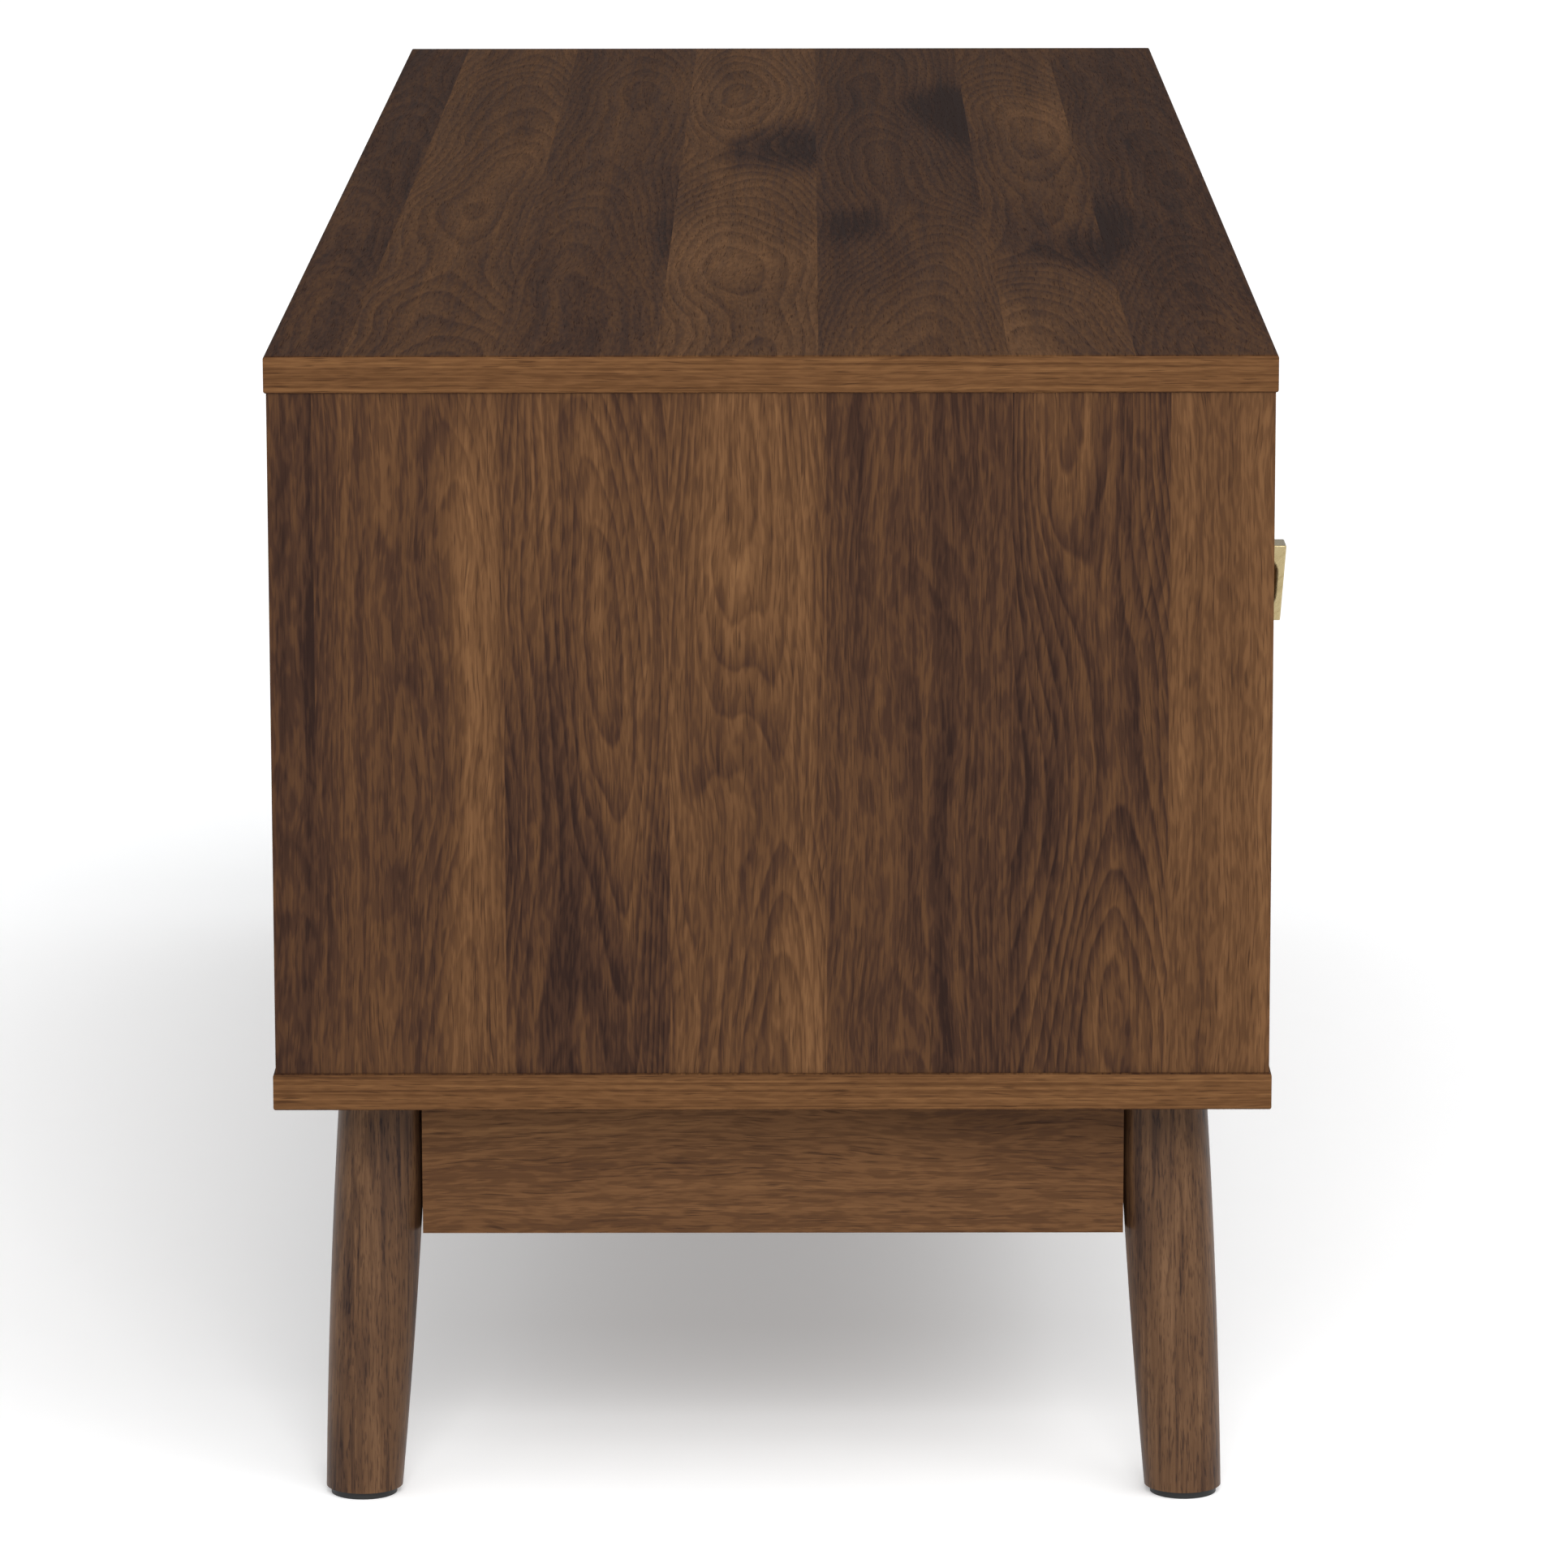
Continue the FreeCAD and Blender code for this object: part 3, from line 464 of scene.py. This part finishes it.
case_depth = span_of("top_board", Y)
end_walnut = wood("end_walnut", face=X, grain=Z, planks=END_PLANKS[::-1], span=case_depth, gain=0.93)
top_walnut = wood("top_walnut", face=Z, grain=X, planks=TOP_PLANKS[::-1], span=case_depth, gain=0.92,
                  contrast=0.75, swirl=1.9, specular=0.02, roughness=0.6)
paint(["left_end_panel", "right_end_panel", "left_divider", "right_divider"], end_walnut)
paint(["top_board", "bottom_board"], top_walnut)
for name, planks in (
    ("left_door", END_PLANKS),
    ("right_door", END_PLANKS),
    ("upper_drawer_front", TOP_PLANKS),
    ("lower_drawer_front", TOP_PLANKS),
):
    paint([name], wood(f"{name}_walnut", face=Y, grain=Z, planks=planks, span=span_of(name, X)))
long_apron = wood("long_apron_walnut", face=Y, grain=X, base_tone=0.56, arches=0.1)
short_apron = wood("short_apron_walnut", face=X, grain=Y, base_tone=0.56, arches=0.1)
drawer_walnut = wood("drawer_walnut", face=Z, grain=Y, base_tone=0.35, band_tone=0.38, gain=0.8)
paint(["front_apron", "back_apron"], long_apron)
paint(["left_apron", "right_apron"], short_apron)
paint(SLOTS["walnut_shelves"], wood("shelf_walnut", face=Z, grain=X, base_tone=0.45))
paint(SLOTS["drawer_board"], drawer_walnut)
paint(SLOTS["leg_wood"], leg_wood("stained_leg"))
paint(SLOTS["block_wood"], softwood("pine"))
paint(SLOTS["back_board"], back_board("hardboard"))
paint(SLOTS["brass"], brass("satin_brass"))
paint(SLOTS["zinc_steel"], metal("zinc_steel", (0.62, 0.63, 0.60)))
paint(SLOTS["slide_steel"], metal("slide_steel", (0.66, 0.68, 0.70)))
paint(SLOTS["nylon"], plastic("nylon_white", (0.72, 0.71, 0.66)))
paint(SLOTS["catch_plastic"], plastic("brown_plastic", (0.16, 0.085, 0.05)))
paint(SLOTS["glide_black"], plastic("black_plastic", (0.014, 0.014, 0.014), rough=0.5))


# ---- driver recesses in the fasteners' heads ----

def islands(item):
    """The low and high corners, in the scene's frame, of each separate solid of a mesh."""
    mesh = bmesh.new()
    mesh.from_mesh(item.data)
    bmesh.ops.remove_doubles(mesh, verts=mesh.verts, dist=1e-6)
    mesh.transform(item.matrix_world)
    left = set(mesh.verts)
    found = []
    while left:
        todo = [left.pop()]
        group = []
        while todo:
            vert = todo.pop()
            group.append(vert.co.copy())
            for edge in vert.link_edges:
                other = edge.other_vert(vert)
                if other in left:
                    left.remove(other)
                    todo.append(other)
        low = Vector([min(co[axis] for co in group) for axis in (X, Y, Z)])
        high = Vector([max(co[axis] for co in group) for axis in (X, Y, Z)])
        found.append((low, high))
    mesh.free()
    return sorted(found, key=lambda corners: tuple(corners[0]))


def add_bar(mesh, centre, spans):
    bar = bmesh.ops.create_cube(mesh, size=1.0)["verts"]
    bmesh.ops.scale(mesh, vec=spans, verts=bar)
    bmesh.ops.translate(mesh, vec=centre, verts=bar)


def add_object(name, data):
    made = bpy.data.objects.new(name, data)
    bpy.context.collection.objects.link(made)
    return made


def stand_in(node, suffix, data, body):
    """A new piece with its own mesh, in the place of a CAD node and on the same body."""
    piece = add_object(f"{node}{suffix}", data)
    piece.matrix_world = bpy.data.objects[node].matrix_world
    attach(piece, body)
    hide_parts(node)


def recess(node, body, axis, side_of, deep=1.2*MM):
    """A copy of a group of fasteners with a cross cut into each head.

    The head lies at the end of the axis that side_of gives for the middle of a fastener.
    """
    bar_width = 0.22
    bar_length = 0.62
    source = bpy.data.objects[node]
    cutter_mesh = bmesh.new()
    across = [other for other in (X, Y, Z) if other != axis]
    for low, high in islands(source):
        centre = (low + high)/2
        centre[axis] = high[axis] if side_of(centre) > 0 else low[axis]
        head = min(high[other] - low[other] for other in across)
        for long in across:
            spans = Vector([bar_width*head]*3)
            spans[long] = bar_length*head
            spans[axis] = 2*deep
            add_bar(cutter_mesh, centre, spans)
    data = bpy.data.meshes.new("recess_cutter")
    cutter_mesh.to_mesh(data)
    cutter_mesh.free()
    cutter = add_object("recess_cutter", data)

    blank = add_object(f"{node}_blank", source.data.copy())
    blank.matrix_world = source.matrix_world
    cut = blank.modifiers.new("cut", "BOOLEAN")
    cut.operation = "DIFFERENCE"
    cut.solver = "EXACT"
    cut.use_self = True
    cut.object = cutter
    ready = blank.evaluated_get(bpy.context.evaluated_depsgraph_get())
    shaped = bpy.data.meshes.new_from_object(ready)
    bpy.data.objects.remove(blank)
    bpy.data.objects.remove(cutter)
    stand_in(node, "_with_recess", shaped, body)


def backward(centre):
    return BACKWARD


def downward(centre):
    return DOWN


def cam_side(centre):
    """Cams open towards the outer bays: inwards on the end panels, outwards on the dividers."""
    middle_of_end_bay = 0.4
    on_left = centre.x < 0
    on_end_panel = abs(centre.x) > middle_of_end_bay
    return RIGHT if on_left == on_end_panel else LEFT


recess("back_screws", "case", Y, backward, deep=0.8*MM)
recess("case_screws", "case", Z, downward)
recess("base_screws", "case", Z, downward)
recess("cam_locks", "case", X, cam_side)
for body in ("left_door", "right_door", "upper_drawer", "lower_drawer"):
    recess(f"{body}_pull_screws", body, Y, backward)


# ---- legs with finer, truly round sides below the aprons ----

def leg_radius(share):
    """Radius at a share of the leg's height: a curve through foot, middle and top."""
    foot, middle, top = LEG_RADII
    return foot*(1 - share)*(1 - 2*share) + middle*4*share*(1 - share) + top*share*(2*share - 1)


def round_leg(node, foot):
    """A copy of a leg, its long edges split and brought out to the round side."""
    rounds = 4
    on_side = 0.05*MM
    worst_gap = 0.02*MM
    outer_face = 0.9
    source = bpy.data.objects[node]
    lean_x = math.copysign(LEG_LEAN[X], -foot.x)
    lean_y = math.copysign(LEG_LEAN[Y], -foot.y)
    lean = Vector((lean_x, lean_y, LEG_TALL))
    axis = lean.normalized()

    def outward(point):
        """Direction from the leg's axis to a point, and how far inside the true side it lies."""
        along = (point - foot).dot(axis)
        arm = point - foot - along*axis
        return arm.normalized(), leg_radius(along/lean.length) - arm.length

    def is_flat(edge):
        """Whether an edge cuts across the round side with a visible gap."""
        if any(vert.co.z > PLAIN_SIDE_TOP or abs(outward(vert.co)[1]) > on_side for vert in edge.verts):
            return False
        way, gap = outward((edge.verts[0].co + edge.verts[1].co)/2)
        return gap > worst_gap and all(face.normal.dot(way) > outer_face for face in edge.link_faces)

    mesh = bmesh.new()
    mesh.from_mesh(source.data)
    bmesh.ops.remove_doubles(mesh, verts=mesh.verts, dist=1e-6)
    for _ in range(rounds):
        flat = [edge for edge in mesh.edges if is_flat(edge)]
        if not flat:
            break
        made = bmesh.ops.subdivide_edges(mesh, edges=flat, cuts=1)
        for vert in made["geom_inner"]:
            if isinstance(vert, bmesh.types.BMVert):
                way, gap = outward(vert.co)
                vert.co += gap*way
        bmesh.ops.triangulate(mesh, faces=[face for face in mesh.faces if len(face.verts) > 3])
    data = bpy.data.meshes.new(f"{node}_round")
    mesh.to_mesh(data)
    mesh.free()
    data.materials.append(source.material_slots[0].material)
    data.shade_smooth()
    data.set_sharp_from_angle(angle=math.radians(30))
    stand_in(node, "_round", data, "case")


for low, high in islands(bpy.data.objects["foot_glides"]):
    foot = (low + high)/2
    foot.z = 0.0
    end = "front" if foot.y < 0 else "back"
    side = "left" if foot.x < 0 else "right"
    round_leg(f"{end}_{side}_leg", foot)


# ---- floor, light and camera ----

def stage():
    half_side = 60.0
    mesh = bpy.data.meshes.new("floor")
    corners = [(-half_side, -half_side, 0), (half_side, -half_side, 0), (half_side, half_side, 0),
               (-half_side, half_side, 0)]
    mesh.from_pydata(corners, [], [(0, 1, 2, 3)])
    floor = add_object("floor", mesh)
    graph = Graph("pale_floor")
    x, y, z = graph.place
    grain = graph.noise(graph.scaled(x, 40), graph.scaled(y, 40), 0, 3, 0.6)
    colour = graph.ramp(grain, FLOOR_TONES)
    mesh.materials.append(graph.finish(colour, 0.9, Specular_IOR_Level=0.1,
                                       Emission_Color=(1, 1, 1, 1), Emission_Strength=0.28))
    floor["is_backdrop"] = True


def sun(name, azimuth, elevation, strength, spread):
    """Soft light that comes from an azimuth, counted like the camera's, and an elevation."""
    turn = math.radians(azimuth)
    rise = math.radians(elevation)
    source = Vector((math.sin(turn)*math.cos(rise), -math.cos(turn)*math.cos(rise), math.sin(rise)))
    lamp = bpy.data.lights.new(name, "SUN")
    lamp.energy = strength
    lamp.angle = math.radians(spread)
    holder = add_object(name, lamp)
    holder.rotation_euler = source.to_track_quat("Z", "Y").to_euler()


def sky(colour, strength):
    world = bpy.data.worlds.new("soft_sky")
    world.use_nodes = True
    background = world.node_tree.nodes["Background"]
    background.inputs["Color"].default_value = colour
    background.inputs["Strength"].default_value = strength
    bpy.context.scene.world = world


def end_light(offset, size, energy):
    """A soft square lamp before the left end, at an offset from the middle of its upper edge."""
    low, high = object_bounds()
    lamp = bpy.data.lights.new("end_panel_light", "AREA")
    lamp.shape = "SQUARE"
    lamp.size = size
    lamp.energy = energy
    holder = add_object("end_panel_light", lamp)
    holder.location = Vector((low.x, 0.0, high.z)) + offset
    holder.rotation_euler = offset.to_track_quat("Z", "Y").to_euler()
    holder.visible_camera = False


def camera(back, aside, above, pitch, heading, roll, lens):
    """A long lens that looks along the sideboard at its left end, from above the top.

    Its place is counted in metres from the left end, the front's plane and the top, and its turns
    in degrees from level and straight along X.
    """
    low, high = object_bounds()
    data = bpy.data.cameras.new("camera")
    data.sensor_width = 36.0
    data.lens = lens
    eye = add_object("camera", data)
    eye.location = (low.x - back, low.y + aside, high.z + above)
    tilt = math.radians(pitch)
    turn = math.radians(heading)
    forward = Vector((math.cos(tilt)*math.cos(turn), math.cos(tilt)*math.sin(turn), math.sin(tilt)))
    facing = forward.to_track_quat("-Z", "Y").to_matrix()
    eye.rotation_euler = (facing @ Matrix.Rotation(-math.radians(roll), 3, "Z")).to_euler()
    bpy.context.scene.camera = eye


stage()
sky(colour=(0.96, 0.98, 1.0, 1.0), strength=0.48)
sun("key", azimuth=-52, elevation=50, strength=1.0, spread=50)
sun("front", azimuth=25, elevation=35, strength=0.45, spread=60)
sun("fill", azimuth=-125, elevation=45, strength=0.35, spread=60)
end_light(offset=Vector((-2.0, 0.0, 0.95)), size=0.9, energy=27)
camera(back=3.086, aside=0.2115, above=0.4324, pitch=-11.076, heading=0.177, roll=0.10, lens=181.6)
bpy.context.scene.view_settings.view_transform = "Standard"
